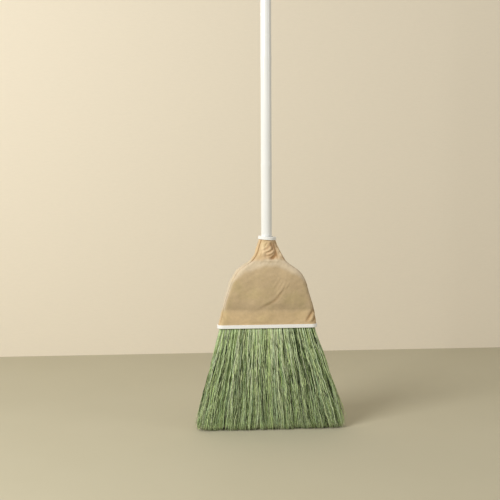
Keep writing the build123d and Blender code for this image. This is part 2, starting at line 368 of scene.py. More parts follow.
# ---------------------------------------------------------------- handle film
FILM_ROWS, FILM_COLUMNS = 420, 56
FILM_TUCK = 2.6  # how far the film's foot reaches down into the collar
FILM_INSIDE, FILM_OUTSIDE = 0.30, 0.02  # how far under the handle's radius its faces lie
FILM_EVEN = 6  # how far from either end the swellings and the unevenness have set in
FILM_UNEVEN = 0.07  # about how far out and in the film strays
NODE_HEIGHTS = (595.0, 832.0, 1069.0)
# The swelling at a node of the bamboo: how far out, how far above the node, and how wide.
NODE_SHAPE = ((0.22, 0.0, 6.0), (-0.10, 11.0, 6.0), (0.20, 0.0, 30.0))


def make_film():
    """The film shrunk over the culm, so that the bamboo's nodes swell through it."""
    rng = np.random.default_rng(4)
    height = np.linspace(film_lo[2] - FILM_TUCK, film_hi[2], FILM_ROWS)
    turn = np.linspace(0, 2 * np.pi, FILM_COLUMNS, endpoint=False)
    handle_radius = (film_hi[0] - film_lo[0]) / 2
    swelling = np.zeros(FILM_ROWS)
    for node in NODE_HEIGHTS:
        for size, above, width in NODE_SHAPE:
            swelling += size * bell(height - node - above, width)
    ring = np.stack([np.cos(turn), np.sin(turn)], 1)
    # the unevenness is drawn out along the handle
    around = np.broadcast_to(ring * 12, (FILM_ROWS, FILM_COLUMNS, 2))
    along = np.broadcast_to(height[:, None, None] * 0.25, (FILM_ROWS, FILM_COLUMNS, 1))
    uneven = waves(np.concatenate([around, along], 2), rng, 10, 16, 70) * FILM_UNEVEN
    low_end = smooth_step(0, FILM_EVEN, height - film_lo[2])
    high_end = smooth_step(0, FILM_EVEN, film_hi[2] - height)
    bulge = (swelling[:, None] + uneven) * (low_end * high_end)[:, None]
    outside = handle_radius - FILM_OUTSIDE + bulge
    inside = np.full_like(outside, handle_radius - FILM_INSIDE)

    def shell(radius):
        level = np.broadcast_to(height[:, None], radius.shape)
        points = np.stack([handle_x + radius * ring[:, 0], radius * ring[:, 1], level], -1)
        return points.reshape(-1, 3)

    return close_shell("film", shell(outside), shell(inside), FILM_ROWS, FILM_COLUMNS)


def close_shell(name, outside, inside, rows, columns):
    """A closed shell from an outer and an inner grid of the same rows and ring columns."""
    count = rows * columns
    top = (rows - 1) * columns
    ring = np.arange(columns)
    following = (ring + 1) % columns
    foot_rim = np.stack([count + ring, count + following, following, ring], 1)
    head_rim = top + np.stack([ring, following, count + following, count + ring], 1)
    quads = np.concatenate(
        [
            grid_faces(rows, columns),
            grid_faces(rows, columns, start=count, flip=True),
            foot_rim,
            head_rim,
        ]
    )
    # The outer face takes most of the map, the inner one a strip above it, the rims a line each:
    # the size of each part and its lower left corner.
    face, rim = grid_map(rows, columns), grid_map(2, columns)
    parts = (
        (face, (0.98, 0.80), (0.01, 0.01)),
        (face[:, ::-1], (0.98, 0.10), (0.01, 0.83)),
        (rim, (0.98, 0.015), (0.01, 0.95)),
        (rim, (0.98, 0.015), (0.01, 0.975)),
    )
    uv = np.concatenate([part * size + corner for part, size, corner in parts])
    return make_mesh(name, np.concatenate([outside, inside]), quads, uv)


# ---------------------------------------------------------------- cloth cover
# From the strip up to the collar: the rise, from 0 to 1; the width, from 1 at the hem to 0 at the
# neck; the depth, 0 at the neck, 1 at the belly and below 0 at the hem, which is flatter than the
# neck; and how far it leans to the right.
COVER_OUTLINE = (
    (0.0, 1.0, -1.52, 0.0),
    (0.067, 0.958, -1.12, 0.6),
    (0.237, 0.886, -0.31, 1.8),
    (0.404, 0.786, 0.44, 1.6),
    (0.521, 0.702, 0.87, 1.6),
    (0.590, 0.626, 1.00, 1.4),
    (0.638, 0.548, 0.94, 0.4),
    (0.697, 0.392, 0.75, -0.2),
    (0.754, 0.240, 0.50, 1.5),
    (0.823, 0.143, 0.25, 1.8),
    (0.908, 0.068, 0.10, 0.8),
    (0.955, 0.032, 0.05, 0.0),
    (1.0, 0.0, 0.0, 0.0),
)
# How many columns of the cover's rings make a flank, a bend and a face, and how far into the
# front's bends the two seams lie.
FRONT_COLUMNS = (5, 44, 110)
BACK_COLUMNS = (5, 22, 60)
LEFT_SEAM = 20
RIGHT_SEAM = 14
# The rows inside the strip, up the panel, and over the shoulder and neck, which are closer.
STRIP_ROWS, PANEL_ROWS, NECK_ROWS = 6, 60, 85
SHOULDER_HEIGHT = 360  # above the floor, where the closer rows begin
HEM_INSET = 2.1  # from the strip's sides to the cloth that it grips
COLLAR_COVERS = 4.7  # how much of the cover's top the collar hides
NECK_WIDTH = 37.3
NECK_DEPTH = 36.0
BELLY_DEPTH = 44.0
TIGHTER_BEND = 0.48  # how much tighter the belly's edge is bent than the hem's and the neck's
CROWN = 1.1  # how far the middle of the panel stands out
CLOTH = 1.0  # the cloth's thickness
FOLD_ROOM = 1.9  # how far the cloth may be pressed in before it meets the stalks
HEM_BAND = 32.0  # how far up from the strip the cloth lies double
HEM_WANDER = 1.2  # how uneven that band's edge is
# A seam: its groove's depth, width and the width that is painted with shade, how much these grow
# towards the neck, then the height, the distance and the width of the ridges beside it, and their
# puckers as height and length.
GROOVE, DEEPER, WIDER = (1.25, 1.1, 1.2), 0.9, 0.5
SEAM_RIDGE = (0.42, 2.6, 1.3)
PUCKERS = ((0.35, 4.6), (0.25, 11.3))

# Folds drawn on the front: points across and up, from the cover's centre line and the strip's
# top, then height, width, and how much painted shade the fold gets, up to 1. Below 0 it gets
# painted light instead.
FOLDS = (
    # the long pull across the panel, a ridge with a groove under it, the groove painted with shade
    (((37.0, 91.0), (28.9, 79.3), (16.0, 65.5)), 1.25, 2.3, 0.0),
    (((31.1, 77.0), (22.1, 63.4), (13.2, 54.3), (2.0, 47.5), (-16.0, 39.5)), -1.35, 3.2, 0.38),
    # fine pulls beside it
    (((26.6, 108.6), (10.9, 88.3)), 0.50, 1.7, 0.0),
    (((19.9, 97.3), (6.5, 79.3)), 0.45, 1.6, 0.0),
    (((31.1, 99.6), (18.8, 81.5)), 0.62, 1.7, 0.0),
    (((38.9, 98.3), (26.6, 81.5)), 0.70, 1.7, 0.0),
    (((45.7, 96.1), (35.6, 79.3)), 0.60, 1.7, 0.0),
    (((51.0, 76.0), (44.0, 62.0)), 0.45, 1.8, 0.0),
    # gathers at the lower right corner, their grooves painted with shade
    (((101.5, 34.0), (94.0, 19.0), (85.5, 3.5)), -2.6, 3.4, 0.75),
    (((104.0, 30.0), (98.5, 15.0), (93.5, 4.0)), 1.5, 2.6, 0.0),
    (((106.8, 27.0), (104.0, 14.0), (99.5, 2.0)), -2.0, 2.2, 0.8),
    # the right edge, where the cloth is drawn tight round the stalks, painted with shade
    (((79.0, 123.0), (88.5, 101.0), (97.5, 66.0), (104.0, 34.0)), -0.7, 2.6, 0.75),
    # a gather at the lower left corner, lightly painted with shade
    (((-100.0, 22.0), (-94.0, 8.0)), -0.8, 2.6, 0.15),
)
# Those round the front of the neck.
NECK_FOLDS = (
    # the bulge of the gathers
    (((0.0, 178.0), (1.0, 168.0), (3.0, 159.0)), 1.7, 9.0, 0.0),
    # the edge of the right flank, which runs down from the collar past the pocket: a groove painted
    # with shade and a ridge beside it painted lighter
    (((14.5, 187.0), (16.2, 172.0), (18.4, 160.0), (20.0, 149.0)), -1.9, 1.9, 0.9),
    (((20.0, 187.0), (22.6, 172.0), (26.5, 158.0), (32.0, 146.0)), 1.4, 4.0, -0.75),
    # the pocket under the gathers, painted with shade
    (((14.2, 166.0), (15.2, 156.0), (10.5, 150.6), (3.0, 148.8)), -2.6, 2.6, 1.0),
    (((13.0, 157.0), (9.0, 152.8), (4.0, 150.0)), -1.2, 3.2, 0.75),
    # the hollow over them, painted with shade
    (((7.5, 189.0), (9.0, 179.0), (12.0, 168.0)), -1.7, 4.6, 0.85),
    # creases from upper right to lower left, painted with shade
    (((6.5, 179.0), (-1.5, 172.5), (-12.5, 166.5)), -1.0, 1.9, 0.5),
    (((11.5, 171.0), (4.0, 165.5), (-5.5, 162.5)), -1.3, 1.6, 0.65),
    (((12.0, 163.5), (5.0, 157.0), (-9.5, 154.5)), -1.2, 2.0, 0.6),
    (((-1.0, 185.0), (-5.0, 178.0), (-9.0, 175.0)), -0.8, 1.5, 0.35),
    # and the lit ridges between them, painted lighter
    (((9.5, 176.0), (0.5, 168.0), (-11.5, 163.5)), 1.0, 2.2, -0.3),
    (((12.5, 167.5), (7.0, 161.5), (-3.5, 158.0)), 1.1, 1.6, -0.3),
    (((3.0, 183.0), (-5.0, 176.5), (-12.0, 171.0)), 0.7, 2.2, -0.2),
    # the lit left half, painted lighter, and a crease in it painted with shade
    (((-9.0, 187.0), (-11.0, 172.0), (-15.5, 157.0)), 0.8, 4.6, -0.6),
    (((-13.0, 170.0), (-15.0, 162.0), (-21.0, 151.0)), -0.8, 1.8, 0.4),
    # the top of the shoulder, which the neck sinks behind
    (((-15.0, 144.5), (-1.0, 145.0), (11.0, 144.6), (25.0, 142.0)), 1.3, 3.4, 0.0),
)
# And those on the back, their grooves painted with shade.
BACK_FOLDS = (
    (((-60.0, 95.0), (-78.0, 60.0), (-88.0, 30.0)), 0.7, 4.0, 0.0),
    (((52.0, 100.0), (70.0, 66.0), (86.0, 28.0)), 0.8, 4.0, 0.0),
    (((-8.0, 176.0), (-14.0, 160.0), (-30.0, 138.0)), 1.0, 3.0, 0.0),
    (((6.0, 182.0), (13.0, 163.0), (27.0, 140.0)), 1.1, 3.0, 0.0),
    (((-1.0, 186.0), (1.0, 165.0), (-5.0, 146.0)), -1.6, 2.6, 0.4),
    (((-12.0, 186.0), (-14.0, 172.0), (-17.0, 160.0)), -1.2, 2.0, 0.3),
    (((97.0, 26.0), (86.0, 6.0)), -1.5, 3.0, 0.3),
    (((-98.0, 24.0), (-88.0, 6.0)), -1.4, 3.0, 0.3),
)

# The cloth's colours: on the panel; where it is drawn over an edge and over the shoulder, which
# are paler partly from cloth lifted off the stalks and partly from a painted sheen and painted
# light;
# at the hem, where it lies double; and round the neck. The last is what the painted shade of a
# deep fold leaves of a colour.
PANEL_TINT = (0.550, 0.420, 0.255)
EDGE_SHEEN_TINT = (0.640, 0.548, 0.418)
SHOULDER_SHEEN_TINT = (0.680, 0.562, 0.400)
HEM_TINT = (0.630, 0.472, 0.276)
NECK_TINT = (0.670, 0.490, 0.297)
FULL_PAINTED_SHADE = (0.56, 0.44, 0.33)


def stroke(x, z, line, width):
    """How much of a fold along a line lies at the points (x, z). It fades at both ends."""
    line = np.array(line, float)
    step = np.diff(line, axis=0)
    length = np.hypot(*step.T)
    along_at = np.concatenate([[0], np.cumsum(length)])
    nearest = np.full(x.shape, np.inf)
    along = np.zeros(x.shape)
    for i in range(len(step)):
        t = ((x - line[i, 0]) * step[i, 0] + (z - line[i, 1]) * step[i, 1]) / length[i] ** 2
        t = np.clip(t, 0, 1)
        away = np.hypot(x - line[i, 0] - t * step[i, 0], z - line[i, 1] - t * step[i, 1])
        closer = away < nearest
        nearest = np.where(closer, away, nearest)
        along = np.where(closer, along_at[i] + t * length[i], along)
    share = along / along_at[-1]
    fade = np.sqrt(np.clip(np.sin(np.pi * np.clip(share, 0.02, 0.98)), 0, 1))
    return fade * bell(nearest, width)


def seam(off, z, up, dark):
    """How far a seam moves the cloth in or out at a distance off it, and how much painted shade its
    groove gets.
    """
    depth, width, painted_shade_width = GROOVE
    ridge, ridge_at, ridge_width = SEAM_RIDGE
    tight = smooth_step(130, 146, up)
    pucker = 1 + sum(size * np.sin(z * 2 * np.pi / length) for size, length in PUCKERS)
    push = ridge * pucker * bell(np.abs(off) - ridge_at, ridge_width)
    push -= (depth + DEEPER * tight) * bell(off, width + WIDER * tight)
    # painted shade along the groove, fuller towards the neck
    painted_shading = (dark + (1 - dark) * tight) * bell(off, painted_shade_width + WIDER * tight)
    return push, painted_shading


def cover_section(half_width, half_depth, corner):
    """The bare form's rings, row by row, as points (x, y), and how far each column faces front,
    -1, or back, 1."""
    places, facings = [], []
    x0, y0, r = half_width[:, None], half_depth[:, None], corner[:, None]
    # the front's columns start at its left, and the back's carry on at the right
    for (flank, bend, face), side in ((FRONT_COLUMNS, -1), (BACK_COLUMNS, 1)):
        t = np.linspace(0, 1, flank, endpoint=False)
        turn = np.linspace(0, np.pi / 2, bend, endpoint=False)
        over = np.linspace(0, 1, face, endpoint=False)
        last_turn = np.pi / 2 - turn

        def bend_at(angle):
            return x0 - r + r * np.cos(angle), side * (y0 - r + r * np.sin(angle))

        x_first, y_first = bend_at(turn)
        x_last, y_last = bend_at(last_turn)
        pieces = (
            (side * x0 + 0 * t, side * (y0 - r) * t, 0 * t),
            (side * x_first, y_first, side * np.sin(turn)),
            (side * (x0 - r) * (1 - 2 * over), side * y0 + 0 * over, side + 0 * over),
            (-side * x_last, y_last, side * np.sin(last_turn)),
            (-side * x0 + 0 * t, side * (y0 - r) * (1 - t), 0 * t),
        )
        for x, y, facing in pieces:
            places.append(np.stack([x, y], -1))
            facings.append(facing)
    return np.concatenate(places, 1), np.concatenate(facings)


def make_cover():
    """The cloth cover, drawn over the stalks from inside the strip up into the collar."""
    rng = np.random.default_rng(11)
    mouth = cover_hi[2] - COLLAR_COVERS
    hem_width = (strip_hi[0] - strip_lo[0]) - 2 * HEM_INSET
    hem_depth = (strip_hi[1] - strip_lo[1]) - 2 * HEM_INSET
    rises, widths, depths, leans = zip(*COVER_OUTLINE)
    height = np.concatenate(
        [
            np.linspace(cover_lo[2] + 0.1, strip_top, STRIP_ROWS, endpoint=False),
            np.linspace(strip_top, SHOULDER_HEIGHT, PANEL_ROWS, endpoint=False),
            np.linspace(SHOULDER_HEIGHT, cover_hi[2], NECK_ROWS),
        ]
    )
    rise = np.clip((height - strip_top) / (mouth - strip_top), 0, 1)
    width = NECK_WIDTH + eased(rise, rises, widths) * (hem_width - NECK_WIDTH)
    depth = NECK_DEPTH + eased(rise, rises, depths) * (BELLY_DEPTH - NECK_DEPTH)
    lean = eased(rise, rises, leans)
    below = height <= strip_top
    width[below], depth[below] = hem_width, hem_depth
    half_width, half_depth = width / 2, depth / 2
    # The face is flatter and its edge tighter over the belly than at the hem and the neck.
    boxy = smooth_step(0.02, 0.30, rise) * (1 - smooth_step(0.72, 0.86, rise))
    corner = half_depth * (1 - TIGHTER_BEND * boxy)
    section, facing = cover_section(half_width, half_depth, corner)
    rows, columns = section.shape[:2]
    x, y = section[..., 0], section[..., 1]
    z = np.broadcast_to(height[:, None], x.shape)
    up = z - strip_top

    # the true normals of the bare form
    points = np.stack([x + head_x + lean[:, None], y, z], -1)
    along = np.roll(points, -1, 1) - np.roll(points, 1, 1)
    normal = np.cross(along, np.gradient(points, axis=0))
    normal /= np.maximum(np.linalg.norm(normal, axis=-1, keepdims=True), 1e-9)

    # the seams, which lie a little towards the front, by the distance round the ring from each
    steps = np.hypot(np.diff(x, axis=1, append=x[:, :1]), np.diff(y, axis=1, append=y[:, :1]))
    round_at = np.cumsum(steps, 1) - steps
    perimeter = steps.sum(1)[:, None]
    flank, bend, face = FRONT_COLUMNS
    right_flank = flank + 2 * bend + face
    free = smooth_step(1.0, 9.0, up) * (1 - smooth_step(0.965, 0.995, rise))[:, None]
    push = np.zeros(x.shape)
    # painted shade in the folds and seams; below 0, painted light on the lit ridges
    painted_shading = np.zeros(x.shape)
    for column, dark in ((flank + LEFT_SEAM, 0.35), (right_flank - RIGHT_SEAM, 0.8)):
        off = round_at - round_at[:, column : column + 1]
        off = (off + perimeter / 2) % perimeter - perimeter / 2
        seam_push, seam_painted_shading = seam(off, z, up, dark)
        push += seam_push * free
        painted_shading += seam_painted_shading

    # drawn folds, with their painted shade and painted light
    front = smooth_step(0.0, 0.6, -facing)
    back = smooth_step(0.2, 0.8, facing)
    neck = smooth_step(136, 144, up)
    for folds, where in ((FOLDS, front), (NECK_FOLDS, front * neck), (BACK_FOLDS, back)):
        for line, tall, wide, dark in folds:
            share = stroke(x, up, line, wide) * where * free
            push += tall * share
            painted_shading += dark * share

    # how far out, in what directions, how many waves, the shortest, the longest, and where
    unevenness = (
        # gathers that run down from the collar all round the neck, and ripples between them
        (0.55, (x, y, z * 0.16), 9, 6.5, 15, smooth_step(130, 160, up)),
        (0.22, (x, y, z), 8, 7, 16, smooth_step(120, 150, up)),
        # the belly, and slack in the cloth, which runs aslant
        (0.75, (x, y * 0.5, z), 9, 38, 110, 1 - smooth_step(120, 160, up)),
        (0.20, (x * 0.55 + z * 0.3, y, z * 0.8 - x * 0.35), 10, 10, 26, 1),
    )
    for size, at, count, shortest, longest, where in unevenness:
        push += size * waves(np.stack(at, -1), rng, count, shortest, longest) * where * free

    # the hem is folded up inside, so the cloth stands out a little below its edge
    hem_edge = HEM_BAND + HEM_WANDER * waves(np.stack([x, y], -1), rng, 5, 24, 120)
    hem = 1 - smooth_step(-8.0, 6.0, up - hem_edge)
    push += (0.55 * hem - 0.30 * bell(up - hem_edge - 2.0, 2.0)) * free
    # the panel is a little rounder than its bare form
    panel = smooth_step(12, 50, up) * (1 - smooth_step(110, 140, up))
    crown = np.clip(1 - (x / (half_width - corner + 1e-6)[:, None]) ** 2, 0, 1)
    push += CROWN * crown * np.abs(facing) ** 4 * panel
    # no fold goes in as far as the stalks
    push = np.maximum(push, -FOLD_ROOM)

    outside = points + normal * (push[..., None] - 0.05)
    # the inner face follows the folds that go in by a part of their depth
    inside = points - normal * CLOTH + normal * np.minimum(push, 0)[..., None] * 0.6
    inside[..., 2] = outside[..., 2]
    piece = close_shell("cover", outside.reshape(-1, 3), inside.reshape(-1, 3), rows, columns)
    border = 1.6 * waves(np.stack([x, y], -1), rng, 5, 12, 50)
    tint = cover_tint(x, up, normal, hem, border, painted_shading).reshape(-1, 3)
    add_colours(piece, "tint", np.concatenate([tint, tint]))
    return piece


def cover_tint(x, up, normal, hem, border, painted_shading):
    """The cloth's colour at each point, from its height, a painted sheen by the way it faces, and
    the painted shade and light of its folds.
    """
    # paler where it turns round an edge, partly cloth lifted off the stalks and partly a painted
    # sheen and painted light, but hardly so on the right below the shoulder, the side away from the
    # light
    edge = (1 - smooth_step(0.70, 0.985, np.abs(normal[..., 1]))) * smooth_step(14, 50, up)
    edge *= 1 - 0.85 * smooth_step(30, 60, x) * (1 - smooth_step(110, 128, up))
    # the shoulder's paler colour, partly cloth lifted off the stalks and partly a painted sheen and
    # painted light where it faces up, starts along an arch, highest in the middle
    arch = up + border + 0.0055 * (x - 1.0) ** 2
    layers = (
        (EDGE_SHEEN_TINT, edge),
        (SHOULDER_SHEEN_TINT, smooth_step(127, 140, arch) * smooth_step(88, 104, up)),
        (HEM_TINT, hem),
        (NECK_TINT, smooth_step(143, 151, up + border)),
    )
    # the cloth over the stalks is darker just above the hem
    above_hem = 1 - 0.09 * bell(up - HEM_BAND - 8, 14)
    tint = np.array(PANEL_TINT) * above_hem[..., None]
    for colour, share in layers:
        tint = tint + (np.array(colour) - tint) * share[..., None]
    # painted shade darkens the folds and seams towards the deep fold's colour; below 0 it paints
    # them lighter
    return tint * (1 - np.clip(painted_shading, -0.6, 1)[..., None] * (1 - np.array(FULL_PAINTED_SHADE)))


# ---------------------------------------------------------------- bristles
PALETTE = (  # share of the strands, colour
    (0.20, (0.620, 0.700, 0.450)),
    (0.25, (0.480, 0.580, 0.305)),
    (0.19, (0.355, 0.440, 0.195)),
    (0.11, (0.270, 0.360, 0.205)),
    (0.11, (0.160, 0.220, 0.080)),
    (0.14, (0.045, 0.072, 0.024)),
)
TUFTS = 7
STRAND_SIDES = 4
STRAND_STEPS = 23
SHOOT_STEPS = 11
TOP_HEIGHT = strip_bottom - 0.1
TOP_HALF_WIDTH = (strip_hi[0] - strip_lo[0]) / 2 - 4.4
TOP_HALF_DEPTH = (strip_hi[1] - strip_lo[1]) / 2 - 3.2
SOLE_HALF_WIDTH = 165.5
SOLE_HALF_DEPTH = 21.0
DRAWN_IN = 0.975  # leaves room for the strands that stray over the sides
STRANDS_PER_MM = 12.5
SHOOTS_PER_STRAND = 1.7
OVERLAP = 0.03  # how far a tuft's strands reach past its sides, as a share of its width
FACE_CROWDING = 0.65  # below 1, more of the strands lie near the faces
CLUMPS = 34
CLUMP_SHAPE = (9, 0.8)  # what places across and deep count for when a strand joins a clump
CLUMP_PULL = 0.38  # how much of the way to their clump's middle the strands are drawn
DEEP_PULL = 0.8  # and how much of that from front to back
FLARE = 2.6  # how far the outermost strands bow out on the way down
WANDER = (1.8, 1.2)  # how far a clump wanders, across and deep
LEAN = (3.2, 1.6)  # how far a strand leans, across and deep
KINK = (0.62, 0.50)  # and how far it kinks
# A strand's bends: how much they turn on the way down, from and to, and how far out they go,
# across and deep.
BENDS = ((1.6, 5.0, 1.3, 0.9), (8.0, 22.0, 0.75, 0.6))
SIDE_BAND = 16  # how wide a band at either side has straighter strands
STRAY = 8  # how far a strand may stand out from the faces
# The ends: how far from the middle they stay level, how much higher the outermost are, how far
# they scatter upwards, the share that is broken off short and by how much, and how low any of
# them reaches.
LEVEL_HALF_WIDTH = 60
CORNER_RISE = 1.4
TIP_SCATTER = 5.0
SHORT_SHARE = 0.14
SHORT_BY = (3, 30)
LOWEST = 0.15
# Side shoots: where on the way down they leave, how far they go, across and deep, how far they
# kink, and how much higher they end.
SHOOT_LEAVES = (0.02, 0.7)
SHOOT_AWAY = (3.6, 2.6)
SHOOT_KINK = 0.62
SHOOT_HIGHER = 9
# The thickest radius of a strand, of a shoot, and what a thick stem has more; one strand in eight
# is such a stem.
STRAND_RADIUS = (0.56, 1.1)
SHOOT_RADIUS = (0.32, 0.64)
STEM_SHARE, STEM_MORE = 0.12, 0.35
# Radius along a strand and along a shoot, as places on the way down and shares of the thickest.
STRAND_TAPER = ((0, 0.3, 0.8, 0.97, 1), (1.0, 0.95, 0.75, 0.5, 0.2))
SHOOT_TAPER = ((0, 0.8, 1), (1, 0.75, 0.25))
# Brightness: of all strands, of those inside, which are darkened as painted shade, and what those
# outside add to it, of the shoots, and along a strand, where the ends are painted lighter; then how
# much it differs from strand to strand, clump to clump and place to place.
TONE = 1.18
INNER_PAINTED_SHADE_TONE, OUTER_TONE = 0.30, 0.76
SHOOT_TONE = 1.12
# the ends are painted lighter, partly paler tips and partly painted light against the shade under
# the tuft
TONE_ALONG_PAINTED_TIPS = ((0, 0.6, 0.9, 1), (1.0, 1.0, 1.2, 2.3))
STRAND_CONTRAST, CLUMP_CONTRAST, BLOTCH_CONTRAST = 0.34, 0.14, 0.28
CLUMP_COLOURED = 0.12  # the share of strands that take their clump's colour
PALEST = 0.72  # the most of red, green or blue in any colour


def stadium_depth(x, half_width, half_depth):
    """How deep a slot-shaped section is at x."""
    beyond = np.maximum(np.abs(x) - (half_width - half_depth), 0)
    return np.sqrt(np.maximum(half_depth**2 - beyond**2, 0))


def tuft_edges(index):
    """Where one tuft's sides lie at its ridge and at the floor."""
    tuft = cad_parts[f"bristle_tuft_{index}"]
    points = np.array([v.co for v in tuft.data.vertices]) / MM
    ridge = points[points[:, 2] > points[:, 2].max() - 1.5, 0]
    sole = points[points[:, 2] < 8, 0]
    ridge = head_x + (ridge - head_x) * DRAWN_IN
    sole = sole * DRAWN_IN
    return ridge.min(), ridge.max(), sole.min(), sole.max()


def strand_paths(count, rng, edges):
    """Centre lines of one tuft's strands, as strand by step by xyz, each strand's clump, and how
    near it lies to the outside, from 0 to 1."""
    top_left, top_right, sole_left, sole_right = edges
    # a point of the section for each strand, more of them near the faces
    across = rng.uniform(-OVERLAP, 1 + OVERLAP, count)
    deep = rng.uniform(-1, 1, count)
    deep = np.sign(deep) * np.abs(deep) ** FACE_CROWDING
    centre_across = (np.arange(CLUMPS) + rng.uniform(0.1, 0.9, CLUMPS)) / CLUMPS
    centre_deep = rng.uniform(-0.95, 0.95, CLUMPS)
    gap = (across[:, None] - centre_across) ** 2 * CLUMP_SHAPE[0]
    gap += (deep[:, None] - centre_deep) ** 2 * CLUMP_SHAPE[1]
    clump = gap.argmin(1)
    t = np.linspace(0, 1, STRAND_STEPS)
    pull = CLUMP_PULL * smooth_step(0.02, 0.6, t)

    def spread(a, d):
        """Where the point (a, d) of the section lies at each step of the way down."""
        x_top = top_left + (top_right - top_left) * a
        x_sole = sole_left + (sole_right - sole_left) * a
        share = (x_top - head_x) / TOP_HALF_WIDTH
        flare = (FLARE * share * np.abs(share))[:, None] * np.sin(np.pi * t**1.5)
        x = x_top[:, None] + (x_sole - x_top)[:, None] * t + flare
        depth_top = stadium_depth(x_top - head_x, TOP_HALF_WIDTH + 1, TOP_HALF_DEPTH)
        depth_sole = stadium_depth(x_sole, SOLE_HALF_WIDTH + 1, SOLE_HALF_DEPTH)
        y = d[:, None] * (depth_top[:, None] * (1 - t) + depth_sole[:, None] * t)
        return x, y

    x, y = spread(across, deep)
    cx, cy = spread(centre_across, centre_deep)
    x += (cx[clump] - x) * pull
    y += (cy[clump] - y) * pull * DEEP_PULL
    # a clump wanders as one
    phase = rng.uniform(0, 2 * np.pi, (4, CLUMPS, 1))[:2]
    length = rng.uniform(0.5, 1.4, (2, CLUMPS, 1))
    wander = np.sin(2 * np.pi * t / length + phase) - np.sin(phase)
    x += WANDER[0] * wander[0][clump] * t
    y += WANDER[1] * wander[1][clump] * t
    # each strand leans, bends and kinks in its own way, less so at the sides
    edge = np.clip((np.abs(x[:, -1:]) - SOLE_HALF_WIDTH + SIDE_BAND) / SIDE_BAND, 0, 1)
    bend_x, bend_y = strand_bends(count, STRAND_STEPS, t, rng)
    x += bend_x * (1 - 0.55 * edge)
    y = np.clip(y + bend_y, -SOLE_HALF_DEPTH - STRAY, SOLE_HALF_DEPTH + STRAY)
    # the ends come down to the floor, higher towards the sides
    beyond = np.abs(x[:, -1]) - LEVEL_HALF_WIDTH
    edge = np.clip(beyond / (SOLE_HALF_WIDTH - LEVEL_HALF_WIDTH), 0, 1)
    scatter = np.abs(rng.normal(0, TIP_SCATTER, count)) * (1.35 - np.abs(deep))
    tip = CORNER_RISE * edge**2 + scatter + 0.4
    tip += (rng.random(count) < SHORT_SHARE) * rng.uniform(*SHORT_BY, count)
    z = TOP_HEIGHT + (tip[:, None] - TOP_HEIGHT) * t
    side = np.abs(x[:, 0] - head_x) / TOP_HALF_WIDTH
    outer = np.maximum(np.abs(deep), smooth_step(0.86, 0.97, side))
    return np.stack([x, y, z], -1), clump, outer


def strand_bends(count, steps, t, rng):
    """Sideways places of strands about their straight lines, across and deep."""
    lean = rng.normal(0, 1, (2, count, 1)) * t**1.2
    bends = []
    for turns_from, turns_to, *size in BENDS:
        turns = rng.uniform(turns_from, turns_to, (2, count, 1))
        phase = rng.uniform(0, 2 * np.pi, (2, count, 1))
        wave = (np.sin(turns * 2 * t + phase) - np.sin(phase)) * smooth_step(0, 0.4, t)
        bends.append(wave * np.array(size)[:, None, None])
    kink = rng.normal(0, 1, (2, count, steps)) * smooth_step(0, 0.12, t)
    size = rng.uniform(0.5, 1.4, (count, 1))
    return [
        LEAN[way] * lean[way] + bends[0][way] + bends[1][way] + KINK[way] * size * kink[way]
        for way in (0, 1)
    ]


def tubes(paths, radius, turn):
    """Points and quads of tubes round the paths, each with its end closed."""
    count, steps = paths.shape[:2]
    along = np.gradient(paths, axis=1)
    along /= np.linalg.norm(along, axis=-1, keepdims=True)
    side = np.cross(along, np.array([0.0, 1.0, 0.0]))
    side /= np.linalg.norm(side, axis=-1, keepdims=True)
    other = np.cross(along, side)
    angle = turn[:, None] + np.arange(STRAND_SIDES) * 2 * np.pi / STRAND_SIDES
    ring = (
        np.cos(angle)[:, None, :, None] * side[:, :, None, :]
        + np.sin(angle)[:, None, :, None] * other[:, :, None, :]
    )
    points = paths[:, :, None, :] + ring * radius[:, :, None, None]
    each = grid_faces(steps, STRAND_SIDES)
    foot = np.arange(STRAND_SIDES)[None]
    tip = foot + (steps - 1) * STRAND_SIDES
    each = np.concatenate([each, foot[:, ::-1], tip])
    quads = (np.arange(count) * steps * STRAND_SIDES)[:, None, None] + each
    return points.reshape(-1, 3), quads.reshape(-1, 4)


def strand_map(first, count, cells, steps):
    """A cell of the map for each strand: its sides next to each other, its length upwards."""
    ends = grid_map(2, 1)
    share = np.concatenate([grid_map(steps, STRAND_SIDES), ends * 0.1 + 0.02, ends * 0.1 + 0.88])
    share = share * 0.94 + 0.03
    at = np.arange(first, first + count)
    origin = np.stack([at % cells, at // cells], 1)
    return ((origin[:, None, None] + share) / cells).reshape(-1, 2)


def shoot_paths(paths, parent, rng):
    """Centre lines of side shoots, which leave their strands part of the way down."""
    shoots = len(parent)
    leave = rng.uniform(*SHOOT_LEAVES, shoots)[:, None]
    s = np.linspace(0, 1, SHOOT_STEPS)
    at = (leave + (1 - leave) * s) * (STRAND_STEPS - 1)
    low = np.minimum(at.astype(int), STRAND_STEPS - 2)
    part = (at - low)[..., None]
    line = paths[parent]
    rows = np.arange(shoots)[:, None]
    shoot = line[rows, low] * (1 - part) + line[rows, low + 1] * part
    away = rng.normal(0, 1, (shoots, 2, 1)) * np.array(SHOOT_AWAY)[:, None]
    kink = rng.normal(0, SHOOT_KINK, (shoots, 2, SHOOT_STEPS)) * smooth_step(0, 0.2, s)
    shoot[..., :2] += (away * s**1.1 + kink).transpose(0, 2, 1)
    shoot[..., 2] += rng.uniform(0, SHOOT_HIGHER, (shoots, 1)) * s
    return shoot


def tapered(thick, taper, steps):
    """The radius at each step of strands that are this thick at their thickest."""
    return thick[:, None] * np.interp(np.linspace(0, 1, steps), *taper)


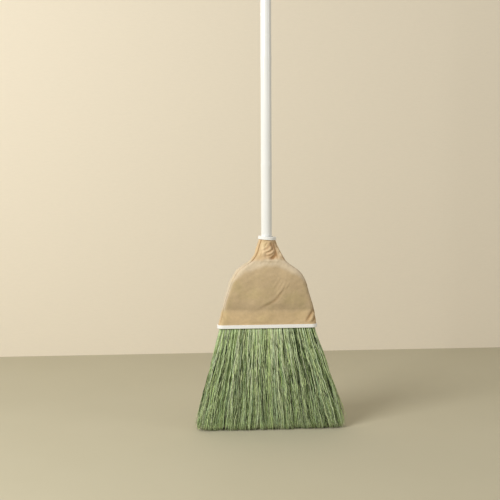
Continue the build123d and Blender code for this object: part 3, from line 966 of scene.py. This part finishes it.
def make_bristles(index):
    """One tuft: its strands, and the thinner side shoots that leave them."""
    rng = np.random.default_rng(100 + index)
    edges = tuft_edges(index)
    count = int(STRANDS_PER_MM * (edges[1] - edges[0]))
    paths, clump, outer = strand_paths(count, rng, edges)
    thick = rng.uniform(*STRAND_RADIUS, count) + STEM_MORE * (rng.random(count) < STEM_SHARE)
    shoots = int(count * SHOOTS_PER_STRAND)
    parent = rng.integers(0, count, shoots)
    shoot = shoot_paths(paths, parent, rng)
    thin = rng.uniform(*SHOOT_RADIUS, shoots)
    radius = tapered(thick, STRAND_TAPER, STRAND_STEPS)
    points, quads = tubes(paths, radius, rng.uniform(0, np.pi, count))
    radius = tapered(thin, SHOOT_TAPER, SHOOT_STEPS)
    more, more_quads = tubes(shoot, radius, rng.uniform(0, np.pi, shoots))
    points = np.concatenate([points, more])
    quads = np.concatenate([quads, more_quads + len(points) - len(more)])
    points[:, 2] = np.maximum(points[:, 2], LOWEST)
    cells = int(np.ceil(sqrt(count + shoots)))
    uv = np.concatenate(
        [
            strand_map(0, count, cells, STRAND_STEPS),
            strand_map(count, shoots, cells, SHOOT_STEPS),
        ]
    )
    piece = make_mesh(f"bristles_{index}", points, quads, uv)
    add_colours(piece, "strand", strand_colours(count, shoots, clump, outer, parent, rng))
    return piece


def strand_colours(count, shoots, clump, outer, parent, rng):
    """A colour for each point of the strands, then of the shoots."""
    shares, colours = (np.array(part) for part in zip(*PALETTE))
    chances = shares / shares.sum()
    total = count + shoots
    clump = np.concatenate([clump, clump[parent]])
    clump_kind = rng.choice(len(PALETTE), CLUMPS, p=chances)
    own_kind = rng.choice(len(PALETTE), total, p=chances)
    kind = np.where(rng.random(total) < CLUMP_COLOURED, clump_kind[clump], own_kind)
    tone = TONE * np.exp(rng.normal(0, STRAND_CONTRAST, total))
    tone *= np.exp(rng.normal(0, CLUMP_CONTRAST, CLUMPS))[clump]
    # the strands inside are painted darker than those at the faces, a painted shade deep in the
    # tuft
    outer = np.concatenate([outer, outer[parent]])
    tone *= INNER_PAINTED_SHADE_TONE + OUTER_TONE * smooth_step(0.55, 0.95, outer)
    base = colours[kind] * tone[:, None] * (1 + rng.normal(0, 0.02, (total, 3)))
    base[count:] *= SHOOT_TONE
    parts = []
    for first, number, steps in ((0, count, STRAND_STEPS), (count, shoots, SHOOT_STEPS)):
        # lighter towards the ends, partly painted light
        along = np.interp(np.linspace(0, 1, steps), *TONE_ALONG_PAINTED_TIPS)
        blotch = np.exp(rng.normal(0, BLOTCH_CONTRAST, (number, steps)))
        shade = (along * blotch)[:, :, None, None]
        colour = base[first : first + number, None, None, :] * shade
        parts.append(np.broadcast_to(colour, (number, steps, STRAND_SIDES, 3)).reshape(-1, 3))
    painted = np.concatenate(parts)
    # the palest stay green
    return painted / np.maximum(painted.max(-1, keepdims=True) / PALEST, 1)


# ---------------------------------------------------------------- scene
# Each lamp: its name, where it stands, what it faces, its width and height, power and colour.
LAMPS = (
    ("window", (-1.78, -1.42, 1.65), (0, 0, 0.4), (1.1, 1.1), 56.0, (1.0, 0.995, 0.985)),
    ("far_window", (2.3, -1.3, 1.2), (0, 0, 0.35), (1.0, 1.0), 10.0, (1, 1, 1)),
)
# The camera: where it stands round the broom, how it is turned, how far its view's middle is to
# the left of the handle, and its lens.
CAMERA_AZIMUTH, CAMERA_DISTANCE, CAMERA_HEIGHT = radians(-4.0), 2.053, 0.591
CAMERA_DOWN, CAMERA_ROLL = radians(5.14), radians(-0.30)
CAMERA_ASIDE = 0.037
CAMERA_LENS, CAMERA_SENSOR = 66.4, 36.0
FLOOR_HALF_SIZE = 6.0
WALL_HALF_WIDTH, WALL_HEIGHT = 4, 4
WALL_BEHIND = 0.864  # from the broom's middle to the wall


def make_lamp(name, place, target, size, power, colour):
    data = bpy.data.lights.new(name, "AREA")
    data.shape = "RECTANGLE"
    data.size, data.size_y = size
    data.energy = power
    data.color = colour
    lamp = add_object(name, data)
    lamp.location = place
    lamp.rotation_euler = (Vector(target) - Vector(place)).to_track_quat("-Z", "Y").to_euler()


def make_camera():
    """The camera's place comes from where it stands round the object, then its own lean."""
    right = Vector((cos(CAMERA_AZIMUTH), sin(CAMERA_AZIMUTH), 0))
    back = Vector((sin(CAMERA_AZIMUTH), -cos(CAMERA_AZIMUTH), 0))
    up = Vector((0, 0, 1))
    aim = Vector((handle_x * MM, 0, 0)) - right * CAMERA_ASIDE
    data = bpy.data.cameras.new("camera")
    data.sensor_width = CAMERA_SENSOR
    data.lens = CAMERA_LENS
    data.clip_start, data.clip_end = 0.05, 50
    camera = add_object("camera", data)
    camera.location = aim + back * CAMERA_DISTANCE + up * CAMERA_HEIGHT
    forward = -back * cos(CAMERA_DOWN) - up * sin(CAMERA_DOWN)
    turn = forward.to_track_quat("-Z", "Y").to_matrix()
    turn = turn @ Euler((0, 0, CAMERA_ROLL)).to_matrix()
    camera.rotation_euler = turn.to_euler()
    bpy.context.scene.camera = camera


def make_plane(name, corners):
    mesh = bpy.data.meshes.new(name)
    mesh.from_pydata(corners, [], [(0, 1, 2, 3)])
    return add_object(name, mesh)


def make_floor():
    """A plain floor."""
    size = FLOOR_HALF_SIZE
    corners = [(-size, -size, 0), (size, -size, 0), (size, size, 0), (-size, size, 0)]
    floor = make_plane("floor", corners)
    look, n, here = new_look("floor")
    colour = n.mix(n.noise(here, 3.0), rgb(0.50, 0.46, 0.33), rgb(0.54, 0.50, 0.37))
    n.surface(Base_Color=colour, Roughness=0.75)
    floor.data.materials.append(look)


def make_wall():
    """A pale wall behind the broom. From behind it is clear, so that it hides nothing."""
    side, top = WALL_HALF_WIDTH, WALL_HEIGHT
    corners = ((-side, 0), (side, 0), (side, top), (-side, top))
    wall = make_plane("wall", [(x, WALL_BEHIND, z) for x, z in corners])
    look, n, here = new_look("wall")
    paper = n.noise(n.stretched(here, (1, 1, 4)), 60.0)
    colour = n.mix(paper, rgb(0.80, 0.725, 0.59), rgb(0.84, 0.76, 0.62))
    plaster = n.add("ShaderNodeBsdfDiffuse", {"Color": colour}).outputs[0]
    clear = n.add("ShaderNodeBsdfTransparent").outputs[0]
    behind = n.add("ShaderNodeNewGeometry").outputs["Backfacing"]
    both = n.add("ShaderNodeMixShader", {0: behind, 1: plaster, 2: clear})
    n.add("ShaderNodeOutputMaterial", {"Surface": both.outputs[0]})
    wall.data.materials.append(look)


def make_world():
    """Soft light from all round."""
    world = bpy.data.worlds.new("studio")
    bpy.context.scene.world = world
    n = Nodes(world)
    backdrop = n.add("ShaderNodeBackground", {"Color": rgb(0.83, 0.80, 0.745), "Strength": 0.48})
    n.add("ShaderNodeOutputWorld", {"Surface": backdrop.outputs["Background"]})


make_camera()
make_floor()
make_wall()
make_world()
for lamp in LAMPS:
    make_lamp(*lamp)
bpy.context.scene.view_settings.view_transform = "Standard"

film = make_film()
dress(film, film_look())
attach(film, "head")
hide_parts("handle_film")

cover = make_cover()
dress(cover, cloth_look())
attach(cover, "head")
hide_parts("cover_front", "cover_back")

strands = bristle_look()
for number in range(1, TUFTS + 1):
    tuft = make_bristles(number)
    dress(tuft, strands)
    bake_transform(tuft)
    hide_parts(f"bristle_tuft_{number}")

# the parts that are shown as they are built, by how their names begin
plain_looks = (
    (plastic_look(), ("collar_ring", "binding_strip", "end_cap")),
    (
        stalk_look("stalks", rgb(0.20, 0.22, 0.09), rgb(0.42, 0.42, 0.20), 420.0),
        ("stalk_bundle", "neck_stalks"),
    ),
    (
        stalk_look("bamboo", rgb(0.52, 0.42, 0.22), rgb(0.66, 0.55, 0.32), 260.0),
        ("handle_culm",),
    ),
    (thread_look(), ("stitch_row",)),
    (wire_look(), ("neck_wire", "handle_nail")),
)
for look, starts in plain_looks:
    for name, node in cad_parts.items():
        if name.startswith(starts):
            dress(node, look)
